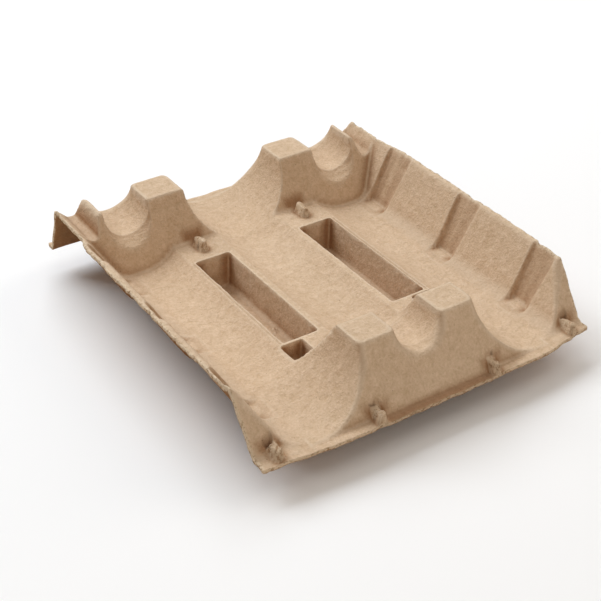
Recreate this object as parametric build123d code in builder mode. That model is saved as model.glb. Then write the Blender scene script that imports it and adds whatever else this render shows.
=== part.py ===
from build123d import *
import os
from math import radians, tan

# Three-bottle lay-flat shipper tray, moulded from paper pulp as one thin sheet.
#
# Three bottles lie side by side in troughs, the middle one turned end for end. Each is
# carried by two cross blocks: its neck in a small rest in one, its body in a round notch
# through the other. The tray stands on the floors of two deep wells between the troughs.
# X runs across the bottles, Y along them and Z up. The origin is at the middle of the
# footprint, on the surface that the tray stands on.
#
# A pulp sheet copies its mould on one face and keeps one thickness behind it. So the open
# space over the tray is modelled twice, the second time with every face pushed one wall
# deeper into the tray, and the sheet is what lies between the two.

# Overall size along the bottles, and the sheet's thickness
length = 282.0
wall = 2.4

# Heights above the resting surface
top_height = 58.0
rim_height = 54.0
land_height = 28.0
flange_height = 19.5
well_floor = 2.4
pocket_floor = 13.0

# Troughs for the bottle bodies, and the slightly tighter notches through the blocks
bottle_pitch = 81.0
bottle_axis = 58.0
trough_radius = 39.5
notch_radius = 38.5

# Outline: the side rims bow outwards between the ends
width = 2 * (bottle_pitch + 43.5)
end_width = 2 * (bottle_pitch + 40.5)

# Side walls, leaning outwards from the floor of the outer troughs to the rims
side_foot = bottle_pitch + 18.5
side_rim = bottle_pitch + 39.0
side_foot_radius = 20.0

# Neck rests: round grooves that climb outwards through a block, flared at the inner end
neck_pitch = bottle_pitch + 1.5
neck_radius = 17.0
neck_inner_axis = 54.0
neck_outer_axis = 60.5
neck_flare = 24.0
neck_flare_angle = 20.0

# Cross blocks: the ends of their flat tops, and where their slopes come down
front_outer_foot = -134.0
front_outer_top = -112.5
front_inner_top = -90.0
front_inner_foot = -67.0
back_inner_foot = 74.0
back_inner_top = 96.0
back_outer_top = 121.0
back_outer_foot = 134.0

# Upright step at the foot of the front block, between its two lugs
step_half_width = 35.0
step_edge = -137.3
step_height = 5.0

# Front corners, where the side rims slope down to the flange
corner_top = -98.0
corner_foot = -124.0

# Valleys between the outer neck rests and the side rims
tooth_edge = neck_pitch + neck_radius + 1.0
valley_place = tooth_edge + 10.0
valley_height = 44.0
valley_radius = 3.0

# Wells on the two ridges between the troughs
well_middle = bottle_pitch / 2 + 0.75
well_width = 25.5
well_length = 108.0
well_corner = 3.0
well_draft = 4.0

# Small pockets between the wells and the front block
pocket_middle = bottle_pitch / 2 + 6.75
pocket_width = 18.5
pocket_back = -59.5
pocket_front = -74.0

# Shallow grooves down the side walls, wider at the rim: front and back end of each there
groove_spans = ((-95.0, -76.0), (-24.0, -1.0), (51.0, 75.0))
groove_narrowing = 4.0
groove_floor = 21.5
groove_foot = bottle_pitch + 24.0
groove_rim = bottle_pitch + 40.6
groove_reach = 12.0

# Oblong lugs that keep stacked trays apart: two pairs on the front flange, one on the ridges
lug_length = 13.0
lug_width = 8.0
lug_height = 7.0
lug_narrowing = 1.1
inner_lug = (step_half_width + 4.5, -133.0)
corner_lug = (bottle_pitch + 28.0, -129.5)
ridge_lug = (bottle_pitch / 2 + 1.5, 69.0)

# How far the open space is drawn past the outside of the tray
beyond = 30.0
sky = top_height + beyond


def run_to(height, foot, foot_height, edge, edge_height):
    """Where the line from a foot to an edge reaches the given height."""
    return foot + (edge - foot) * (height - foot_height) / (edge_height - foot_height)


def grow(depth):
    """Push every side of the sketch in hand outwards by the depth, corners kept sharp."""
    if depth:
        offset(amount=depth, kind=Kind.INTERSECTION)


def trough_section(radius, depth):
    """Section across the three troughs, open above, with the given bottle radius."""
    floor = bottle_axis - radius
    outer = run_to(sky, side_foot, floor, side_rim, rim_height)
    inner = bottle_pitch - radius
    with BuildSketch(Plane.XZ) as section:
        with BuildLine():
            FilletPolyline(
                (bottle_pitch, floor), (side_foot, floor), (outer, sky), radius=side_foot_radius
            )
            Polyline((outer, sky), (inner, sky), (inner, bottle_axis))
            CenterArc((bottle_pitch, bottle_axis), radius, 180, 90)
        make_face()
        mirror(about=Plane.YZ)
        grow(depth)
    return section.sketch


def middle_section(radius, depth):
    """Section across the middle trough: a half round, open above."""
    with BuildSketch(Plane.XZ) as section:
        with Locations((0, bottle_axis)):
            Circle(radius)
            Rectangle(2 * radius, sky - bottle_axis, align=(Align.CENTER, Align.MIN))
        grow(depth)
    return section.sketch


def trough_space(depth):
    """Space between the two cross blocks: three troughs and the ridges cut flat."""
    foot_height = bottle_axis - trough_radius
    back = run_to(sky, back_inner_foot, foot_height, back_inner_top, top_height)
    front = run_to(sky, front_inner_foot, foot_height, front_inner_top, top_height)
    low = foot_height - beyond
    back_low = run_to(low, back_inner_foot, foot_height, back_inner_top, top_height)
    front_low = run_to(low, front_inner_foot, foot_height, front_inner_top, top_height)
    with BuildPart() as space:
        extrude(trough_section(trough_radius, depth), amount=length, both=True)
        extrude(middle_section(trough_radius, depth), amount=length, both=True)
        with BuildSketch(Plane.XZ) as land:
            with Locations((0, land_height)):
                Rectangle(2 * bottle_pitch, sky - land_height, align=(Align.CENTER, Align.MIN))
            grow(depth)
        extrude(amount=length, both=True)
        with BuildSketch(Plane.YZ) as between_blocks:
            with BuildLine():
                Polyline((front_low, low), (back_low, low), (back, sky), (front, sky), close=True)
            make_face()
            grow(depth)
        extrude(amount=width, both=True, mode=Mode.INTERSECT)
    return space.part


def notch_space(depth):
    """Round notches for the bottle bodies: two through the front block, one through the back."""
    with BuildPart() as space:
        extrude(trough_section(notch_radius, depth), amount=length)
        extrude(middle_section(notch_radius, depth), amount=-length)
    return space.part


def neck_space(place, inner, outer, depth):
    """One neck rest, from the inner to the outer end of its block, with its flared mouth."""
    run = abs(outer - inner)
    side = 1 if outer > inner else -1
    climb = neck_outer_axis - neck_inner_axis
    start = Vector(place, inner, neck_inner_axis)
    groove = Plane(origin=start, x_dir=(-side, 0, 0), z_dir=(0, side * run, climb))
    mouth = Plane(origin=start - Vector(0, side * neck_flare, 0), z_dir=(0, side, 0))
    mouth_radius = neck_radius + neck_flare * tan(radians(neck_flare_angle))
    with BuildPart() as space:
        with BuildSketch(groove):
            Circle(neck_radius)
            Rectangle(2 * neck_radius, beyond, align=(Align.CENTER, Align.MIN))
            grow(depth)
        extrude(amount=2 * run, both=True)
        with BuildSketch(mouth):
            Circle(mouth_radius + depth)
        extrude(amount=neck_flare, taper=neck_flare_angle)
    return space.part


def slope_section(plane, foot, top, top_level, depth):
    """Section, along the tray, of the space outside a slope that falls to the flange."""
    far = (length / 2 + beyond) * (1 if foot > 0 else -1)
    crest = run_to(sky, foot, flange_height, top, top_level)
    with BuildSketch(plane) as section:
        with BuildLine():
            Polyline((far, sky), (far, flange_height), (foot, flange_height), (crest, sky), close=True)
        make_face()
        grow(depth)
    return section.sketch


def step_section(depth):
    """Section, along the tray, of the space outside the front block's slope and step."""
    far = -length / 2 - beyond
    step_top = flange_height + step_height
    crest = run_to(sky, step_edge, step_top, front_outer_top, top_height)
    with BuildSketch(Plane.YZ) as section:
        with BuildLine():
            Polyline(
                (far, sky),
                (far, flange_height),
                (step_edge, flange_height),
                (step_edge, step_top),
                (crest, sky),
                close=True,
            )
        make_face()
        grow(depth)
    return section.sketch


def end_space(depth):
    """Space outside the end slopes and the sloping front corners, above the flanges."""
    beside_step = Plane.YZ.offset(step_half_width - depth)
    beside_notch = Plane.YZ.offset(bottle_pitch - depth)
    with BuildPart() as space:
        extrude(
            slope_section(beside_step, front_outer_foot, front_outer_top, top_height, depth),
            amount=width,
        )
        extrude(slope_section(beside_notch, corner_foot, corner_top, rim_height, depth), amount=width)
        mirror(about=Plane.YZ)
        extrude(step_section(depth), amount=width, both=True)
        extrude(
            slope_section(Plane.YZ, back_outer_foot, back_outer_top, top_height, depth),
            amount=width,
            both=True,
        )
    return space.part


def valley_space(depth):
    """Space over the side rims and in the valleys beside the outer neck rests."""
    with BuildPart() as space:
        with BuildSketch(Plane.XZ):
            with BuildLine():
                FilletPolyline(
                    (tooth_edge, top_height),
                    (valley_place, valley_height),
                    (side_rim, rim_height),
                    radius=valley_radius,
                )
                Polyline(
                    (side_rim, rim_height),
                    (width, rim_height),
                    (width, sky),
                    (tooth_edge, sky),
                    (tooth_edge, top_height),
                )
            make_face()
            grow(depth)
        extrude(amount=length, both=True)
        mirror(about=Plane.YZ)
    return space.part


def groove_space(depth):
    """Space in the grooves of the side walls, each drawn on its leaning face."""
    rise = rim_height - groove_floor
    past_rim = ((groove_rim - groove_foot) ** 2 + rise**2) ** 0.5 + beyond
    with BuildPart() as space:
        for front, back in groove_spans:
            middle = (front + back) / 2
            half = (back - front) / 2
            face = Plane(
                origin=(groove_foot, middle, groove_floor),
                x_dir=(0, 1, 0),
                z_dir=(rise, 0, groove_foot - groove_rim),
            )
            with BuildSketch(face.offset(depth)):
                with BuildLine():
                    Polyline(
                        (half - groove_narrowing, 0),
                        (half, past_rim),
                        (-half, past_rim),
                        (groove_narrowing - half, 0),
                        close=True,
                    )
                make_face()
                grow(depth)
            extrude(amount=groove_reach + depth, dir=(-1, 0, 0))
        mirror(about=Plane.YZ)
    return space.part


def ridge_space(depth):
    """Space inside the deep wells and the small pockets of the two ridges."""
    with BuildPart() as space:
        for middle, across, near, far, floor in (
            (well_middle, well_width, -well_length / 2, well_length / 2, well_floor),
            (pocket_middle, pocket_width, pocket_front, pocket_back, pocket_floor),
        ):
            with BuildSketch(Plane.XY.offset(land_height)):
                with Locations((middle, (near + far) / 2)):
                    RectangleRounded(across + 2 * depth, far - near + 2 * depth, well_corner + depth)
            extrude(amount=floor - depth - land_height, taper=well_draft)
        mirror(about=Plane.YZ)
    return space.part


def lugs(depth):
    """The raised lugs, shrunk by the depth, as solids that stand into the open space."""
    inset = lug_narrowing + depth
    with BuildPart() as bumps:
        for place, base in (
            (inner_lug, flange_height),
            (corner_lug, flange_height),
            (ridge_lug, land_height),
        ):
            with BuildSketch(Plane.XY.offset(base - wall - depth)):
                with Locations(place):
                    SlotOverall(lug_length - 2 * depth, lug_width - 2 * depth, rotation=90)
            with BuildSketch(Plane.XY.offset(base + lug_height - depth)):
                with Locations(place):
                    SlotOverall(lug_length - 2 * inset, lug_width - 2 * inset, rotation=90)
            loft()
        mirror(about=Plane.YZ)
    return bumps.part


def open_space(depth):
    """All the space above the tray, with its sides the given depth into the tray."""
    hollows = [
        trough_space(depth),
        notch_space(depth),
        neck_space(-neck_pitch, back_inner_top, back_outer_top, depth),
        neck_space(neck_pitch, back_inner_top, back_outer_top, depth),
        neck_space(0, front_inner_top, front_outer_top, depth),
        end_space(depth),
        valley_space(depth),
        groove_space(depth),
        ridge_space(depth),
    ]
    bumps = lugs(depth)
    with BuildPart() as space:
        with BuildSketch(Plane.XY.offset(top_height - depth)):
            Rectangle(2 * width, 2 * length)
        extrude(amount=beyond)
        add(hollows)
        add(bumps, mode=Mode.SUBTRACT)
    return space.part


above_mould_face = open_space(0)
above_back_face = open_space(wall)

with BuildPart() as pulp_tray:
    with BuildSketch():
        with BuildLine():
            Line((-end_width / 2, -length / 2), (end_width / 2, -length / 2))
            ThreePointArc((end_width / 2, -length / 2), (width / 2, 0), (end_width / 2, length / 2))
            Line((end_width / 2, length / 2), (-end_width / 2, length / 2))
            ThreePointArc((-end_width / 2, length / 2), (-width / 2, 0), (-end_width / 2, -length / 2))
        make_face()
    extrude(amount=top_height)
    add(above_back_face, mode=Mode.INTERSECT)
    add(above_mould_face, mode=Mode.SUBTRACT)

pulp_tray.part.label = "pulp_tray"
os.makedirs("parts", exist_ok=True)
export_step(pulp_tray.part, "parts/pulp_tray.step")
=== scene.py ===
from math import cos, radians, sin, tan

import bpy
import numpy as np
from mathutils import Matrix, Vector


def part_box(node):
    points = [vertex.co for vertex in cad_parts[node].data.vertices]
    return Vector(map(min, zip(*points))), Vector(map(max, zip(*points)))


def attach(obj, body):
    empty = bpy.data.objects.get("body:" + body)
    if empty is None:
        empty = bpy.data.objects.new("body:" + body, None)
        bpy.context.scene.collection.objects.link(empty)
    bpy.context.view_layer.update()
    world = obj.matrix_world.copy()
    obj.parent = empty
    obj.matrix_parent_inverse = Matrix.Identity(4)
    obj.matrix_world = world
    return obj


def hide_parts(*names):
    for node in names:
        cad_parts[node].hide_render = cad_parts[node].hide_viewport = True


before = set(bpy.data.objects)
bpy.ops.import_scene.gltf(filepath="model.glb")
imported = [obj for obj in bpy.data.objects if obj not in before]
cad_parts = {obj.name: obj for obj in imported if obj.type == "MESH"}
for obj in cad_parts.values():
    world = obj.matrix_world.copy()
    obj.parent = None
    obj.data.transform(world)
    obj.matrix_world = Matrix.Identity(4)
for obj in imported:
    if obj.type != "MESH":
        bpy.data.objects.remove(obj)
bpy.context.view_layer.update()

# ---- The moulded tray ----
# Lay-flat shipper tray for three bottles: one sheet of paper pulp, felted on a screen mould
# and dried, about 2.4 mm thick and uneven by a few tenths, with a rough trimmed edge. It
# carries the outer bottles neck towards the back and the middle one neck towards the front.

# X runs across the bottles, Y along them and Z up. Lengths are in millimetres until the
# mesh is made, which is in metres like the frame.
METRE = 1000.0
low_corner, high_corner = (np.array(corner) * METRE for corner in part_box("pulp_tray"))
half_x = high_corner[0]
half_y = high_corner[1]

SHEET = 2.4
FULL_HEIGHT = 58.0
RIM_HEIGHT = 54.0
LAND_HEIGHT = 26.5
FLANGE_HEIGHT = 19.5
BOTTLE_AXIS = 58.0
BOTTLE_PITCH = 81.0
TROUGH_RADIUS = 39.5
NOTCH_RADIUS = 38.5
TROUGH_FLOOR = BOTTLE_AXIS - TROUGH_RADIUS

# Across X, the foot and the top of a side wall; along Y, those of the cross blocks' faces
WALL_FOOT = 98.5
WALL_TOP = 119.2
FRONT_INNER_FOOT = -67.0
FRONT_INNER_TOP = -90.0
FRONT_OUTER_TOP = -112.5
FRONT_OUTER_FOOT = -134.0
BACK_INNER_FOOT = 74.0
BACK_INNER_TOP = 96.0
BACK_OUTER_TOP = 121.0
BACK_OUTER_FOOT = 134.0

# The neck rests' mouths start on the blocks' inner faces, a little short of their tops, and
# the outer rests stand a little further out than the troughs' axes
MOUTH_LEAD = 3.5
OUTER_NECK = 82.5

# On each land, the middle of the long well, and the middle and floor of the square pocket
WELL_X = 41.2
WELL_Y = 0.7
POCKET_X = 49.6
POCKET_Y = -63.0
POCKET_FLOOR = 13.0

# How far a filled-in crease reaches: plain, soft, and at the foot of a block
CREASE = 1.0
SOFT_CREASE = 1.6
FOOT_CURVE = 1.8


def lumps(x, y, size, seed):
    """Uneven felt: random heights from -1 to 1 on a square lattice of the given size, which
    repeats after 97 cells. Across a cell they are joined along a smooth S."""
    count = 97
    shift = 40.5
    lattice = np.random.default_rng(seed).uniform(-1, 1, (count, count))
    u = x / size + shift
    v = y / size + shift
    i = np.floor(u).astype(int)
    j = np.floor(v).astype(int)
    s = u - i
    t = v - j
    s = s * s * (3 - 2 * s)
    t = t * t * (3 - 2 * t)
    i, j, i1, j1 = i % count, j % count, (i + 1) % count, (j + 1) % count
    near = lattice[i, j] * (1 - s) + lattice[i1, j] * s
    far = lattice[i, j1] * (1 - s) + lattice[i1, j1] * s
    return near * (1 - t) + far * t


# The face that lay against the forming mould is described by the open spaces over the
# tray, each with its own distance: positive in the pulp and negative in the open. They are
# eased into each other, because wet pulp never fills a sharp corner.
def ease_min(a, b, ease):
    """The smaller of two distances, rounded over where they differ by less than the ease."""
    near = np.maximum(ease - np.abs(a - b), 0) / ease
    return np.minimum(a, b) - near * near * ease / 4


def ease_max(a, b, ease):
    """The larger of two distances, filled in where they differ by less than the ease."""
    return -ease_min(-a, -b, ease)


def step_up(place, start, end):
    """Nought before the start, one past the end, and a smooth S between them."""
    part = np.clip((place - start) / (end - start), 0, 1)
    return part * part * (3 - 2 * part)


def slope(along, height, foot, foot_height, top, top_height):
    """Distance behind a plane face that climbs from a foot to a top, with pulp beyond it."""
    run = top - foot
    rise = top_height - foot_height
    side = np.where(run > 0, 1.0, -1.0)
    return side * (rise * (along - foot) - run * (height - foot_height)) / np.hypot(run, rise)


def side_wall(x, z):
    """Distance behind the plane of a side wall, which leans outwards."""
    return slope(x, z, WALL_FOOT, TROUGH_FLOOR, WALL_TOP, RIM_HEIGHT)


def round_trough(across, height, radius):
    """Distance outside a half circle that stays open straight above its axis."""
    return np.hypot(across, np.minimum(height, 0)) - radius


def body_troughs(x, y, z, panel_foot):
    """The three bottle troughs and the level lands between them. The middle trough runs out
    through the back block, the outer two through the front block, and each is a little
    tighter in its block than before it. A land has a fine score beside its well."""
    tighter = TROUGH_RADIUS - NOTCH_RADIUS
    middle_radius = TROUGH_RADIUS - tighter * step_up(y, 66, 78)
    outer_radius = NOTCH_RADIUS + tighter * step_up(y, -74, -62)
    inner_front = slope(y, z, FRONT_INNER_FOOT, TROUGH_FLOOR, FRONT_INNER_TOP, FULL_HEIGHT)
    inner_back = slope(y, z, BACK_INNER_FOOT, TROUGH_FLOOR, BACK_INNER_TOP, FULL_HEIGHT)
    middle = round_trough(x, z - BOTTLE_AXIS, middle_radius)
    middle = ease_max(middle, inner_front, FOOT_CURVE)

    across = x - BOTTLE_PITCH
    floor = BOTTLE_AXIS - outer_radius
    leaning = ease_max(floor - z, side_wall(x, z), ease=7.0)
    outer = np.where(across < 0, round_trough(across, z - BOTTLE_AXIS, outer_radius), leaning)
    outer = ease_min(outer, wall_panels(x, y, z, panel_foot, floor), ease=0.7)
    outer = ease_max(outer, inner_back, FOOT_CURVE)

    score_x, score_width, score_depth = 55.6, 0.7, 0.7
    beside_well = step_up(-np.abs(y - WELL_Y), -55, -52)
    score = score_depth * np.exp(-(((x - score_x) / score_width) ** 2)) * beside_well
    land = ease_max(LAND_HEIGHT - score - z, np.maximum(inner_front, inner_back), ease=2.4)
    land = np.maximum(land, x - BOTTLE_PITCH)
    return ease_min(ease_min(middle, outer, CREASE), land, ease=0.4)


def wall_panels(x, y, z, panel_foot, floor):
    """Three shallow panels set back in each side wall: steeper than the wall, so they are
    deepest at the foot, and a little wider at the rim. Each front flank is gentle and each
    back flank steep: they run 1.2 mm and 0.45 mm along Y for a millimetre of depth."""
    panel_top, inner_limit = 121.6, 90.5
    front_run, back_run = 1.2, 0.45
    panel = slope(x, z, panel_foot, TROUGH_FLOOR, panel_top, RIM_HEIGHT)
    panel = ease_max(panel, floor + 0.1 - z, ease=1.6)
    panel = np.maximum(panel, inner_limit - x)
    below_rim = (RIM_HEIGHT - z) / (RIM_HEIGHT - TROUGH_FLOOR)
    deep = np.maximum(side_wall(x, z), 0)
    panels = np.full(x.shape, 99.0)
    for front, back in ((-101.0, -79.3), (-26.6, -4.0), (48.4, 73.7)):
        front_flank = (front + 0.8 * below_rim + front_run * deep - y) * 0.64
        back_flank = (y - back + 3.0 * below_rim + back_run * deep) * 0.85
        flanks = np.maximum(front_flank, back_flank)
        panels = np.minimum(panels, ease_max(panel, flanks, ease=0.9))
    return panels


def neck_rest(x, y, z, place, inner, outer):
    """A half-round rest through a block. Its axis climbs outwards with a slight sag, and its
    inner end is flared into a mouth."""
    radius = 16.0
    inner_axis, outer_axis, sag = 54.6, 57.5, 5.0
    flare, mouth_length = radians(28), 18
    out = 1.0 if outer > inner else -1.0
    past = (y - inner) * out
    part = np.clip(past / abs(outer - inner), 0, 1)
    axis = inner_axis + (outer_axis - inner_axis) * part - sag * part * (1 - part)
    groove = round_trough(x - place, z - axis, radius)
    mouth = round_trough(x - place, z - inner_axis, radius - past * tan(flare)) * cos(flare)
    rest = ease_min(groove, ease_max(mouth, past, ease=1.0), ease=0.6)
    return np.maximum(rest, -mouth_length - past)


def end_slopes(x, y, z):
    """The blocks' outer slopes and the side rims' front corners, falling to flat flanges.
    Between its lugs the front slope has a slight kick, and the flange lies a little lower."""
    between_lugs = 1 - step_up(x, 37.5, 41.0)
    kick = 1.8 * step_up(-z, -36, -22) * between_lugs
    drop = 0.8 * between_lugs
    front = slope(y + kick, z, FRONT_OUTER_FOOT, FLANGE_HEIGHT, FRONT_OUTER_TOP, FULL_HEIGHT)
    front = ease_max(front, FLANGE_HEIGHT - drop - z, ease=1.0)

    corner_foot, corner_top, corner_inside = -127, -103, BOTTLE_PITCH + 8
    corner = slope(y, z, corner_foot, FLANGE_HEIGHT, corner_top, RIM_HEIGHT)
    corner = np.maximum(ease_max(corner, FLANGE_HEIGHT - z, ease=3.0), corner_inside - x)

    back = slope(y, z, BACK_OUTER_FOOT, FLANGE_HEIGHT, BACK_OUTER_TOP, FULL_HEIGHT)
    back = ease_max(back, FLANGE_HEIGHT - z, ease=4.0)
    return ease_min(ease_min(front, corner, CREASE), back, CREASE)


def rim_valleys(x, z):
    """A valley between each outer neck rest and the rim beside it, and the level rims."""
    bottom = 44
    tooth_side = slope(x, z, 106.5, bottom, 101.6, FULL_HEIGHT)
    rim_side = slope(x, z, 110.5, bottom, 120.2, RIM_HEIGHT)
    valley = ease_max(tooth_side, rim_side, ease=3.0)
    valley = ease_max(valley, bottom + 0.4 - z, ease=2.0)
    rim_inside = 112
    rim = np.maximum(RIM_HEIGHT - z, rim_inside - x)
    return ease_min(valley, rim, CREASE)


def drafted_box(across, along, z, half_width, half_length, floor):
    """A box sunk in a land, with round corners, leaning sides and a filled-in floor edge."""
    corner, draft = 1.6, radians(4)
    lean = (LAND_HEIGHT - z) * tan(draft) + corner
    past_side = np.abs(across) - half_width + lean
    past_end = np.abs(along) - half_length + lean
    round_part = np.hypot(np.maximum(past_side, 0), np.maximum(past_end, 0))
    sides = round_part + np.minimum(np.maximum(past_side, past_end), 0) - corner
    return ease_max(sides * cos(draft), floor - z, ease=4.0)


def lug(across, along, z, base):
    """Distance outside an oblong stub that narrows upwards, rounded over at its top."""
    length, width, height, taper = 12.5, 6.0, 6.2, 0.1
    reach = np.maximum(np.abs(along) - (length - width) / 2, 0)
    side = np.hypot(across, reach) - width / 2 + (z - base) * taper
    return ease_max(side, z - base - height, ease=1.4)


def all_lugs(side, y, z):
    """The nearest of the lugs: on the front flange, in the front corners and on the lands."""
    nearest = np.full(side.shape, 99.0)
    for across, along, base in (
        (42.5, -134.0, FLANGE_HEIGHT),
        (108.5, -128.5, FLANGE_HEIGHT),
        (41.0, 69.5, LAND_HEIGHT),
    ):
        nearest = np.minimum(nearest, lug(side - across, y - along, z, base))
    return nearest


def into_sheet(x, y, z):
    """How far a point lies inside the pulp, past the nearest open space over the tray."""
    side = np.abs(x)
    left_panel_foot, right_panel_foot = 101.5, 102.6
    depth = body_troughs(side, y, z, np.where(x > 0, right_panel_foot, left_panel_foot))
    middle_rest = neck_rest(side, y, z, 0.0, FRONT_INNER_TOP + MOUTH_LEAD, FRONT_OUTER_TOP)
    depth = ease_min(depth, middle_rest, ease=0.8)
    outer_rest = neck_rest(side, y, z, OUTER_NECK, BACK_INNER_TOP - MOUTH_LEAD, BACK_OUTER_TOP)
    depth = ease_min(depth, outer_rest, ease=0.8)
    depth = ease_min(depth, end_slopes(side, y, z), SOFT_CREASE + 3.0 * step_up(z, 30, 50))
    depth = ease_min(depth, rim_valleys(side, z), CREASE)
    depth = ease_min(depth, FULL_HEIGHT - z, ease=1.4)
    well = drafted_box(side - WELL_X, y - WELL_Y, z, half_width=12.8, half_length=53.3, floor=SHEET)
    depth = ease_min(depth, well, ease=0.6)
    pocket = drafted_box(
        side - POCKET_X, y - POCKET_Y, z, half_width=7.8, half_length=8.2, floor=POCKET_FLOOR
    )
    depth = ease_min(depth, pocket, ease=0.6)

    # Lugs broken off rough, a small pit beside each front one, and crumbs in the left well
    stubs = all_lugs(side, y, z) + 0.6 * lumps(x + z, y - z, 2.3, 11)
    depth = ease_max(depth, -stubs, ease=1.0)
    pit_height, pit_radius = 20.5, 2.6
    for across, along in ((44.0, -127.5), (109.5, -122.5)):
        away = np.sqrt((side - across) ** 2 + (y - along) ** 2 + (z - pit_height) ** 2)
        depth = ease_min(depth, away - pit_radius + 0.4 * lumps(x, y, 2.0, 14), ease=0.5)
    for place, along, radius in ((-33.2, -9.6, 1.4), (-32.4, -12.6, 1.0), (-34.8, -13.4, 1.2)):
        crumb = np.sqrt((x - place) ** 2 + (y - along) ** 2 + (z - SHEET) ** 2) - radius
        depth = ease_max(depth, -crumb, ease=0.5)
    return depth


# Both faces of the sheet are height maps over the same plan. Their grid lines stand closer
# together at bends of the sheet, and the two faces are joined round the trimmed edge.
def crowded(start, end, count, bends):
    """Places of grid lines between two ends. Near each bend, given as its place, its reach
    and how many times closer, the lines stand closer together."""
    fine = np.linspace(start, end, 6001)
    density = np.ones_like(fine)
    for place, reach, times in bends:
        density = np.maximum(density, 1 + (times - 1) * np.exp(-(((fine - place) / reach) ** 2)))
    tally = np.concatenate([[0], np.cumsum((density[1:] + density[:-1]) / 2)])
    return np.interp(np.linspace(0, tally[-1], count), tally, fine)


def both_sides(bends):
    """The same bends at plus and minus each place."""
    return [(sign * place, reach, times) for place, reach, times in bends for sign in (-1, 1)]


def outline(u, v):
    """Moves a plan point on the straight grid to the trimmed outline. The side rims fall in
    a little beside the back block and towards the front, and the front edge falls back at
    its corners. The trim is ragged, with a few deeper nicks in the side rims."""
    side = np.sign(u)
    at_back = 3.2 * step_up(v, 66, 84)
    edge = half_x - at_back - 2.2 * step_up(-v, 50, 112) - 1.2 * step_up(-v, 96, 140)
    ragged = 0.45 * lumps(v, 7 * side, 8.0, 3) + 0.3 * lumps(v, 31 * side, 2.3, 7)
    nicks = np.maximum(lumps(v, 53 * side, 4.0, 12) - 0.5, 0)
    edge = edge + ragged - 2.6 * nicks - 0.7
    x = u + side * (edge - half_x) * step_up(np.abs(u), 104, half_x)

    ragged = 0.4 * lumps(u, 11, 6.0, 4) + 0.3 * lumps(u, 37, 2.1, 8) + 0.7
    front = 4.0 * step_up(-u, 60, 124) + 6.5 * step_up(u, 70, 124)
    back = 0.5 * lumps(u, -13, 6.0, 5) + 0.5
    y = v + front * step_up(-v, 120, 141) + ragged * step_up(-v, 138.6, 141)
    y = y - back * step_up(v, 134, 141)
    return x, y


def face(x_lines, y_lines, level):
    """One face of the sheet on a grid: at each plan point, the height where the distance
    into the pulp reaches the level, found by halving 24 times a gap that starts below and
    above the tray. The felt is uneven, and more so along the frayed side rims."""
    u, v = np.meshgrid(x_lines, y_lines, indexing="ij")
    x, y = outline(u, v)
    felt = 0.16 * lumps(x, y, 9.0, 1) + 0.1 * lumps(x, y, 2.9, 2)
    frayed = step_up(np.abs(u), 118.5, 122.5)
    felt = felt + frayed * (0.3 * lumps(x, y, 4.3, 9) + 0.18 * lumps(x, y, 2.0, 10))
    bottom = np.full(x.shape, -6.0)
    top = np.full(x.shape, 64.0)
    for _ in range(24):
        middle = (bottom + top) / 2
        inside = into_sheet(x, y, middle) + felt > level
        bottom = np.where(inside, middle, bottom)
        top = np.where(inside, top, middle)
    z = np.clip(middle, low_corner[2], high_corner[2])
    return np.stack([x, y, z], axis=-1)


def rim_loop(shape):
    """Indices of a grid's border points, once round: along X at the first line of Y, along
    Y at the last line of X, and back the same way."""
    last_x, last_y = shape[0] - 1, shape[1] - 1
    i = np.arange(last_x + 1)
    j = np.arange(last_y + 1)
    rows = [i[:-1], np.full(last_y, last_x), i[:0:-1], np.zeros(last_y, int)]
    columns = [np.zeros(last_x, int), j[:-1], np.full(last_x, last_y), j[:0:-1]]
    return np.concatenate(rows) * shape[1] + np.concatenate(columns)


def loop_places(x_lines, y_lines):
    """How far round the border each of its points stands: 0 to 1 along the first side, 1 to
    2 along the second, and so on, so that two grids' borders can be matched."""
    part_x = (x_lines - x_lines[0]) / (x_lines[-1] - x_lines[0])
    part_y = (y_lines - y_lines[0]) / (y_lines[-1] - y_lines[0])
    return np.concatenate([part_x[:-1], 1 + part_y[:-1], 3 - part_x[:0:-1], 4 - part_y[:0:-1]])


def zip_loops(a, places_a, b, places_b):
    """Triangles between two loops: each step along either one reaches to the point that
    the other has come to, whichever is next in place going first."""
    next_a = np.append(places_a[1:], 4.0)
    next_b = np.append(places_b[1:], 4.0)
    at_b = np.searchsorted(next_b, next_a, side="left") % len(b)
    at_a = np.searchsorted(next_a, next_b, side="right") % len(a)
    steps_a = np.stack([a, b[at_b], np.roll(a, -1)], axis=1)
    steps_b = np.stack([b, np.roll(b, -1), a[at_a]], axis=1)
    return np.concatenate([steps_a, steps_b])


def grid_quads(shape):
    """The four corners of every cell of a grid, counter-clockwise from above."""
    index = np.arange(shape[0] * shape[1]).reshape(shape)
    corners = [index[:-1, :-1], index[1:, :-1], index[1:, 1:], index[:-1, 1:]]
    return np.stack([corner.ravel() for corner in corners], axis=1)


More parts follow.
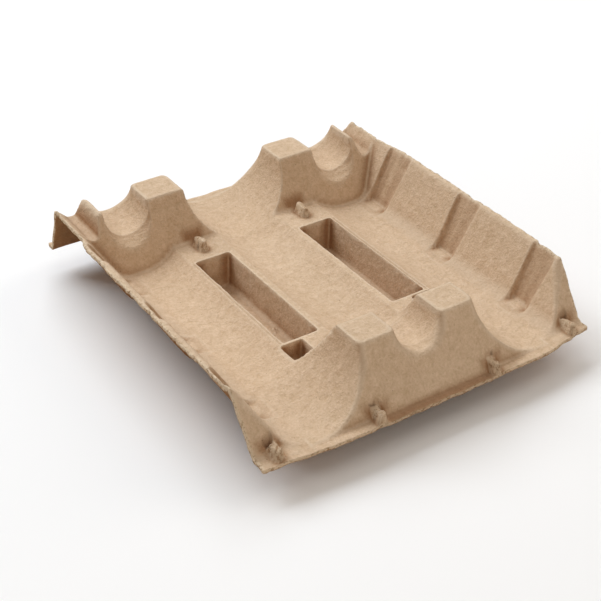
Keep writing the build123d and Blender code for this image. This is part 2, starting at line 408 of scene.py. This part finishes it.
# Each bend: its place, its reach, and how many times closer the grid lines stand there
x_bends = [
    (16.0, 1.6, 2.2), (24.0, 1.2, 2.4), (28.6, 1.0, 5.0), (31.0, 2.0, 2.4), (38.6, 2.0, 2.4),
    (41.8, 0.9, 3.5), (51.5, 2.0, 2.4), (53.8, 1.0, 5.0), (56.6, 1.6, 4.2), (66.5, 1.6, 2.2),
    (98.5, 2.2, 2.6), (109.0, 5.0, 1.6), (121.0, 3.2, 2.4),
]
y_bends = [
    (-140.0, 1.6, 2.4), (-135.8, 1.6, 3.2), (-128.0, 6.0, 1.8), (-112.5, 2.0, 2.2),
    (-101.0, 1.2, 2.4), (-88.0, 3.5, 2.4), (-79.8, 1.2, 2.0), (-71.2, 1.0, 3.0),
    (-67.0, 3.0, 1.4), (-54.8, 1.0, 4.0), (-52.6, 1.0, 4.5), (-50.0, 2.0, 2.0),
    (-26.2, 1.2, 2.4), (-4.5, 1.2, 2.0), (48.8, 1.2, 2.4), (51.5, 2.0, 2.0), (54.0, 1.0, 4.5),
    (64.0, 2.5, 1.6), (74.0, 2.0, 2.4), (89.0, 5.0, 2.3), (96.0, 2.0, 2.2), (121.0, 2.2, 2.4),
    (127.0, 6.0, 1.6),
]
under_x_bends = [(26.4, 1.6, 4.0), (40.5, 4.0, 1.8), (56.2, 1.6, 4.0), (119.0, 5.0, 1.6)]
under_y_bends = [(-133.0, 5.0, 1.8), (-55.0, 1.6, 4.0), (56.6, 1.6, 4.0), (130.0, 6.0, 1.8)]
x_top = crowded(-half_x, half_x, 262, both_sides(x_bends))
y_top = crowded(-half_y, half_y, 268, y_bends)
x_under = crowded(-half_x, half_x, 160, both_sides(under_x_bends))
y_under = crowded(-half_y, half_y, 164, under_y_bends)

mould_face = face(x_top, y_top, 0.0)
back_face = face(x_under, y_under, SHEET)
top_shape = mould_face.shape[:2]
under_shape = back_face.shape[:2]

# The trimmed edge swells a little and is torn into fibres: rings between the two faces
top_loop = rim_loop(top_shape)
top_places = loop_places(x_top, y_top)
under_loop = rim_loop(under_shape)
under_places = loop_places(x_under, y_under)
top_points = mould_face.reshape(-1, 3)
under_points = back_face.reshape(-1, 3)
upper = top_points[top_loop]
lower = np.stack(
    [
        np.interp(top_places, np.append(under_places, 4.0), np.append(values, values[0]))
        for values in under_points[under_loop].T
    ],
    axis=1,
)
rings = []
for part, swell in ((0.18, 0.15), (0.5, 0.25), (0.82, 0.05)):
    ring = upper * (1 - part) + lower * part
    tear = lumps(ring[:, 0] + 50 * part, ring[:, 1], 2.4, 6)
    away = ring[:, :2] / np.array([half_x, half_y])
    furthest = np.abs(away).max(axis=1, keepdims=True)
    away = np.where(np.abs(away) == furthest, np.sign(away), 0)
    ring[:, :2] += away * (swell + 0.3 * tear)[:, None]
    rings.append(ring)

points = np.clip(np.concatenate([top_points, under_points, *rings]), low_corner, high_corner)
under_start = len(top_points)
ring_start = under_start + len(under_points)
ring_size = len(top_loop)
quads = [grid_quads(top_shape), grid_quads(under_shape)[:, ::-1] + under_start]
previous = top_loop
for number in range(len(rings)):
    current = ring_start + number * ring_size + np.arange(ring_size)
    quads.append(np.stack([previous, current, np.roll(current, -1), np.roll(previous, -1)], axis=1))
    previous = current
triangles = zip_loops(previous, top_places, under_loop + under_start, under_places)

tray_mesh = bpy.data.meshes.new("moulded_tray")
polygons = np.concatenate(quads).tolist() + triangles.tolist()
tray_mesh.from_pydata((points / METRE).tolist(), [], polygons)
tray_mesh.polygons.foreach_set("use_smooth", np.ones(len(tray_mesh.polygons), bool))
tray_mesh.validate()
tray_mesh.update()


def edge_highlight_and_crease_shade(places):
    """Where to paint a highlight on edges that face upwards and shade in filled-in creases of the
    mould face, each 0 to 1. A step of h into the pulp along the normal gains less than h of depth
    near an edge, and a step of h out loses less than h of it in a crease: 1 - gain / h and
    1 - loss / h. The foot of a steep face gets painted shade as a crease from further off."""
    tiny, edge_step, crease_step, foot_step = 0.05, 1.6, 4.0, 9.0
    x, y, z = places.T
    here = into_sheet(x, y, z)
    ways = [into_sheet(x + tiny, y, z), into_sheet(x, y + tiny, z), into_sheet(x, y, z + tiny)]
    way = np.stack([(value - here) / tiny for value in ways], axis=1)
    way = way / np.maximum(np.linalg.norm(way, axis=1, keepdims=True), 1e-6)
    level = -way[:, 2]
    upward = np.clip(4 * level - 1.3, 0, 1)
    steep = np.clip(4 * (0.85 - level), 0, 1)
    edge = upward * (1 - (into_sheet(*(places + edge_step * way).T) - here) / edge_step)
    crease = 1 - (here - into_sheet(*(places - crease_step * way).T)) / crease_step
    foot = steep * (1 - (here - into_sheet(*(places - foot_step * way).T)) / foot_step)
    return np.clip(edge * 6, 0, 1), np.clip(np.maximum(1.4 * crease, 1.5 * foot), 0, 1)


# Measures kept with the mesh for its colour, each 0 to 1 at every point: a painted
# highlight on edges that face up, painted shade in creases and at the feet of steep faces,
# torn fibres, and painted shade on the underside
edge_highlight, painted_shade = edge_highlight_and_crease_shade(points)
u_top, v_top = np.meshgrid(x_top, y_top, indexing="ij")
side_trim = step_up(np.abs(u_top), 122.3, 124.3)
end_trim = 0.3 * step_up(np.abs(v_top), 139.8, 140.8)
torn = np.ones(len(points))
torn[:under_start] = np.maximum(side_trim, end_trim).ravel()
torn[under_start:ring_start] = 0.0
x, y, z = points.T
# Over the lugs: torn fibres, and painted shade for their shaded sides
torn_and_shaded_lug = 0.8 * step_up(-all_lugs(np.abs(x), y, z), -0.9, 0.1)
torn = np.maximum(torn, torn_and_shaded_lug)
painted_shade = np.maximum(painted_shade, torn_and_shaded_lug)
# Painted shadow of the front block on the flange between the lugs, up to its trimmed edge
block_shadow = step_up(-y, 134.6, 136.0) * (1 - step_up(np.abs(x), 37, 40))
painted_shade = np.maximum(painted_shade, 0.85 * block_shadow)
# Painted shade on the underside and on the lower rings of the trimmed edge
underside_shade = np.zeros(len(points))
underside_shade[under_start:ring_start] = 1.0
underside_shade[ring_start:] = np.repeat([0.3, 1.0, 1.0], ring_size)
measures = {"worn_edge": edge_highlight, "crease": painted_shade, "torn_edge": torn, "underside": underside_shade}
for name, values in measures.items():
    attribute = tray_mesh.attributes.new(name, "FLOAT", "POINT")
    attribute.data.foreach_set("value", values.astype(np.float32))
tray = bpy.data.objects.new("moulded_tray", tray_mesh)
bpy.context.scene.collection.objects.link(tray)
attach(tray, "root")
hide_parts("pulp_tray")


def linear(colour):
    """An sRGB hex colour as the linear values that a shader takes."""
    parts = [int(colour[place:place + 2], 16) / 255 for place in (1, 3, 5)]
    return [
        part / 12.92 if part <= 0.04045 else ((part + 0.055) / 1.055) ** 2.4 for part in parts
    ] + [1]


def node(tree, kind, settings=None, **links):
    """Adds a node, sets its properties, and fills its sockets with values or other sockets.
    A socket is named by its label, with an underscore for each space, or by its number after
    an underscore."""
    made = tree.nodes.new(kind)
    for name, value in (settings or {}).items():
        setattr(made, name, value)
    for name, value in links.items():
        label = int(name[1:]) if name[1:].isdigit() else name.replace("_", " ")
        if isinstance(value, bpy.types.NodeSocket):
            tree.links.new(value, made.inputs[label])
        else:
            made.inputs[label].default_value = value
    return made


# Moulded recycled paper pulp, unbleached: matt and fibrous, warm grey-brown, mottled
# where fibres clot, with a few dark fibres. Edges that face up carry a painted highlight;
# creases, the lugs, the front flange between the lugs and the underside carry painted shade;
# torn edges show dark pits between pale fibres.
pulp = bpy.data.materials.new("moulded_paper_pulp")
pulp.use_nodes = True
tree = pulp.node_tree
tree.nodes.clear()
place = node(tree, "ShaderNodeTexCoord").outputs["Object"]
to_mm = node(tree, "ShaderNodeVectorMath", {"operation": "SCALE"}, Vector=place, Scale=METRE)
in_mm = to_mm.outputs[0]

# The felt's unevenness at four sizes in millimetres, each with its detail and roughness
felt = {}
for name, size, detail, roughness in (
    ("patches", 38.0, 2, 0.55),
    ("clots", 4.5, 3, 0.55),
    ("grain", 1.5, 3, 0.7),
    ("pits", 1.9, 3, 0.7),
):
    noise = node(tree, "ShaderNodeTexNoise", Vector=in_mm, Scale=1 / size, Detail=detail)
    noise.inputs["Roughness"].default_value = roughness
    felt[name] = noise.outputs["Fac"]

# The first three are added up by their shares into one tone
add = {"operation": "MULTIPLY_ADD"}
tone = 0.0
for name, share in (("patches", 0.15), ("clots", 0.35), ("grain", 0.5)):
    tone = node(tree, "ShaderNodeMath", add, _0=felt[name], _1=share, _2=tone).outputs[0]

# A ramp from a dark colour to a pale one, for the plain felt and for torn fibres
tints = {}
for name, amount, dark_at, dark, pale_at, pale in (
    ("plain", tone, 0.36, "#C7A784", 0.64, "#DFC1A1"),
    ("torn", felt["pits"], 0.38, "#93704D", 0.50, "#E6CFAE"),
):
    ramp = node(tree, "ShaderNodeValToRGB", Fac=amount)
    for stop, at, tint in zip(ramp.color_ramp.elements, (dark_at, pale_at), (dark, pale)):
        stop.position = at
        stop.color = linear(tint)
    tints[name] = ramp.outputs[0]

# Dark fibres: specks about 0.7 mm across, some 7 mm apart
specks = node(tree, "ShaderNodeTexVoronoi", Vector=in_mm, Scale=1 / 7.0, Randomness=1.0)
below = {"operation": "LESS_THAN"}
dark_fibre = node(tree, "ShaderNodeMath", below, _0=specks.outputs["Distance"], _1=0.05)
amounts = {"dark_fibre": dark_fibre.outputs[0]}
for name in measures:
    amounts[name] = node(tree, "ShaderNodeAttribute", {"attribute_name": name}).outputs["Fac"]

# Each layer over the plain felt: how it is mixed in, where, how strongly and its colour
colour = tints["plain"]
times = {"operation": "MULTIPLY"}
for blending, name, strength, tint in (
    # a painted highlight on edges that face up
    ("MIX", "worn_edge", 0.45, linear("#E4CDB0")),
    # painted shade in creases, at the feet of steep faces, over the lugs and on the front flange
    ("MULTIPLY", "crease", 0.75, linear("#AC855A")),
    # painted shade on the underside and the lower part of the trimmed edge
    ("MULTIPLY", "underside", 1.0, linear("#B89E82")),
    ("MIX", "torn_edge", 0.6, tints["torn"]),
    ("MULTIPLY", "dark_fibre", 0.45, linear("#7A5636")),
):
    amount = node(tree, "ShaderNodeMath", times, _0=amounts[name], _1=strength).outputs[0]
    mix = {"data_type": "RGBA", "blend_type": blending, "clamp_factor": True}
    colour = node(tree, "ShaderNodeMix", mix, _0=amount, _6=colour, _7=tint).outputs[2]

# The relief of the grain and the clots, whose distance is in metres
height = node(tree, "ShaderNodeMath", add, _0=felt["grain"], _1=0.7, _2=felt["clots"]).outputs[0]
bump = node(tree, "ShaderNodeBump", Strength=1.0, Distance=0.0009, Height=height).outputs[0]
shader = node(tree, "ShaderNodeBsdfPrincipled", Base_Color=colour, Roughness=0.95, Normal=bump)
shader.inputs["Specular IOR Level"].default_value = 0.15
node(tree, "ShaderNodeOutputMaterial", Surface=shader.outputs[0])
tray_mesh.materials.append(pulp)

# ---- Table, light and camera ----
# A plain pale sweep of matt laminate, lit from behind by two large soft lights, with weak
# fills from the front, the right and overhead. Lengths here are in metres.
REACH = 6.0
corners = [(-REACH, -REACH, 0), (REACH, -REACH, 0), (REACH, REACH, 0), (-REACH, REACH, 0)]
table_mesh = bpy.data.meshes.new("table")
table_mesh.from_pydata(corners, [], [(0, 1, 2, 3)])
table = bpy.data.objects.new("table", table_mesh)
bpy.context.scene.collection.objects.link(table)
table_paint = bpy.data.materials.new("matt_white_laminate")
table_paint.use_nodes = True
table_shader = table_paint.node_tree.nodes["Principled BSDF"]
table_shader.inputs["Base Color"].default_value = linear("#FAF4ED")
table_shader.inputs["Roughness"].default_value = 0.8
table_mesh.materials.append(table_paint)

world = bpy.data.worlds.new("studio")
world.use_nodes = True
background = world.node_tree.nodes["Background"]
background.inputs["Color"].default_value = linear("#FFFFFF")
background.inputs["Strength"].default_value = 0.14
bpy.context.scene.world = world


def soft_light(name, bearing, elevation, away, size, power, colour):
    """A square soft light, aimed at the tray. Its bearing is from +Y towards +X."""
    turn, lift = radians(bearing), radians(elevation)
    place = away * Vector((sin(turn) * cos(lift), cos(turn) * cos(lift), sin(lift)))
    light = bpy.data.lights.new(name, "AREA")
    light.size = size
    light.energy = power
    light.color = colour
    lamp = bpy.data.objects.new(name, light)
    lamp.location = place
    lamp.rotation_euler = (-place).to_track_quat("-Z", "Y").to_euler()
    bpy.context.scene.collection.objects.link(lamp)


cool = (0.80, 0.89, 1.0)
soft_light("back_left", -25, 43, 3.0, 1.6, 57.5, cool)
soft_light("back_right", 18, 46, 3.0, 1.6, 42.0, cool)
soft_light("front_left_fill", 200, 31, 2.3, 1.5, 10.8, (1.0, 0.91, 0.82))
soft_light("right_fill", 100, 34, 2.3, 1.5, 11.0, (1.0, 0.95, 0.9))
soft_light("overhead", 0, 89, 2.3, 2.0, 8.5, (1.0, 1.0, 1.0))

camera_data = bpy.data.cameras.new("camera")
camera_data.sensor_width = 36.0
camera_data.lens = 77.5
camera_data.clip_end = 50.0
camera = bpy.data.objects.new("camera", camera_data)
camera_place = (-0.39677, -0.58156, 0.49082)
azimuth, elevation, roll = radians(-33.88), radians(34.48), radians(0.55)
back = Vector((sin(azimuth) * cos(elevation), -cos(azimuth) * cos(elevation), sin(elevation)))
right = Vector((cos(azimuth), sin(azimuth), 0.0))
up = back.cross(right)
right, up = right * cos(roll) + up * sin(roll), up * cos(roll) - right * sin(roll)
turn = Matrix((right, up, back)).transposed().to_4x4()
camera.matrix_world = Matrix.Translation(camera_place) @ turn
bpy.context.scene.collection.objects.link(camera)
bpy.context.scene.camera = camera
bpy.context.scene.view_settings.view_transform = "Standard"
